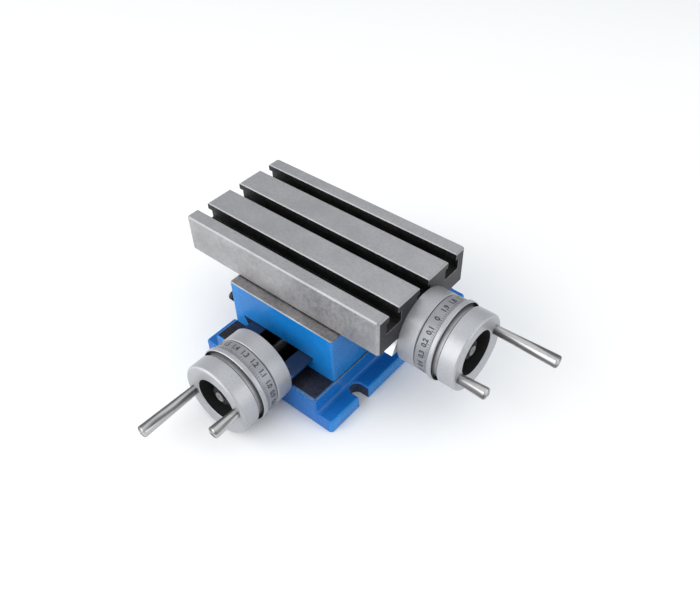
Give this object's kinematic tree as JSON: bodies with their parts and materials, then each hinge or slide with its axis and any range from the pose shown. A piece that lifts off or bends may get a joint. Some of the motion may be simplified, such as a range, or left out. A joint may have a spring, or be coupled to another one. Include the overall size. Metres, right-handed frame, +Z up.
{
  "type": "cross slide table",
  "caption": "Compound slide table: slotted table on crossed dovetail slides, each moved by a leadscrew with a graduated dial and a handwheel.",
  "frame": {"origin": "centre of the base's underside", "axes": "+X to the table's handwheel, +Y away from the operator of the cross slide's handwheel, +Z up"},
  "size_m": [0.303, 0.2889, 0.1071],
  "materials": {
    "blue_casting": "gloss enamel over cast iron",
    "ground_iron": "ground",
    "gib_iron": "ground",
    "satin_aluminium": "satin turned",
    "bronze": "machined",
    "bright_steel": "polished",
    "dark_steel": "black oxide"
  },
  "bodies": {
    "base": {"base_casting": "blue_casting", "cross_housing": "satin_aluminium", "cross_housing_screws": "dark_steel", "cross_thrust_washers": "bronze"},
    "saddle": {"saddle_casting": "blue_casting", "cross_gib": "gib_iron", "cross_gib_screws": "dark_steel", "cross_gib_nuts": "dark_steel", "cross_nut": "bronze", "cross_nut_screws": "dark_steel", "table_gib": "gib_iron", "table_gib_screws": "dark_steel", "table_gib_nuts": "dark_steel", "table_nut": "bronze", "table_nut_screws": "dark_steel"},
    "table": {"table_casting": "ground_iron", "table_housing": "satin_aluminium", "table_housing_screws": "dark_steel", "table_thrust_washers": "bronze"},
    "cross_screw": {"cross_leadscrew": "bright_steel", "cross_dial_spring": "dark_steel", "cross_handwheel": "satin_aluminium", "cross_wheel_key": "dark_steel", "cross_wheel_washer": "dark_steel", "cross_wheel_nut": "dark_steel", "cross_long_handle": "bright_steel", "cross_short_handle": "bright_steel"},
    "table_screw": {"table_leadscrew": "bright_steel", "table_dial_spring": "dark_steel", "table_handwheel": "satin_aluminium", "table_wheel_key": "dark_steel", "table_wheel_washer": "dark_steel", "table_wheel_nut": "dark_steel", "table_long_handle": "bright_steel", "table_short_handle": "bright_steel"},
    "cross_dial": {"cross_dial": "satin_aluminium"},
    "table_dial": {"table_dial": "satin_aluminium"},
    "cross_lock": {"cross_lock_screw": "dark_steel"},
    "table_lock": {"table_lock_screw": "dark_steel"}
  },
  "joints": [
    {"name": "cross_screw_turn", "type": "hinge", "parent": "base", "child": "cross_screw", "pos_m": [0, -0.093, 0.034], "axis": [0, 1, 0], "range_deg": [-3425, 5585]},
    {"name": "saddle_slide", "type": "slide", "parent": "base", "child": "saddle", "axis": [0, 1, 0], "range_m": [-0.019, 0.031]},
    {"name": "table_slide", "type": "slide", "parent": "saddle", "child": "table", "axis": [1, 0, 0], "range_m": [-0.0359, 0.0555]},
    {"name": "table_screw_turn", "type": "hinge", "parent": "table", "child": "table_screw", "pos_m": [0.09065, -0.006, 0.0661], "axis": [1, 0, 0], "range_deg": [-6467, 9995]},
    {"name": "cross_dial_turn", "type": "hinge", "parent": "cross_screw", "child": "cross_dial", "pos_m": [0, -0.1081, 0.034], "axis": [0, 1, 0], "continuous": true},
    {"name": "table_dial_turn", "type": "hinge", "parent": "table_screw", "child": "table_dial", "pos_m": [0.10575, -0.006, 0.0661], "axis": [1, 0, 0], "continuous": true},
    {"name": "cross_lock_turn", "type": "hinge", "parent": "saddle", "child": "cross_lock", "pos_m": [-0.05435, -0.057, 0.0385], "axis": [-1, 0, 0], "range_deg": [0, 90]},
    {"name": "table_lock_turn", "type": "hinge", "parent": "saddle", "child": "table_lock", "pos_m": [0.04135, 0.058, 0.0626], "axis": [0, 1, 0], "range_deg": [0, 90]}
  ],
  "couplings": [
    {"joint": "cross_screw_turn", "follows": "saddle_slide", "rad_per_m": 3141.6},
    {"joint": "table_screw_turn", "follows": "table_slide", "rad_per_m": 3141.6}
  ]
}
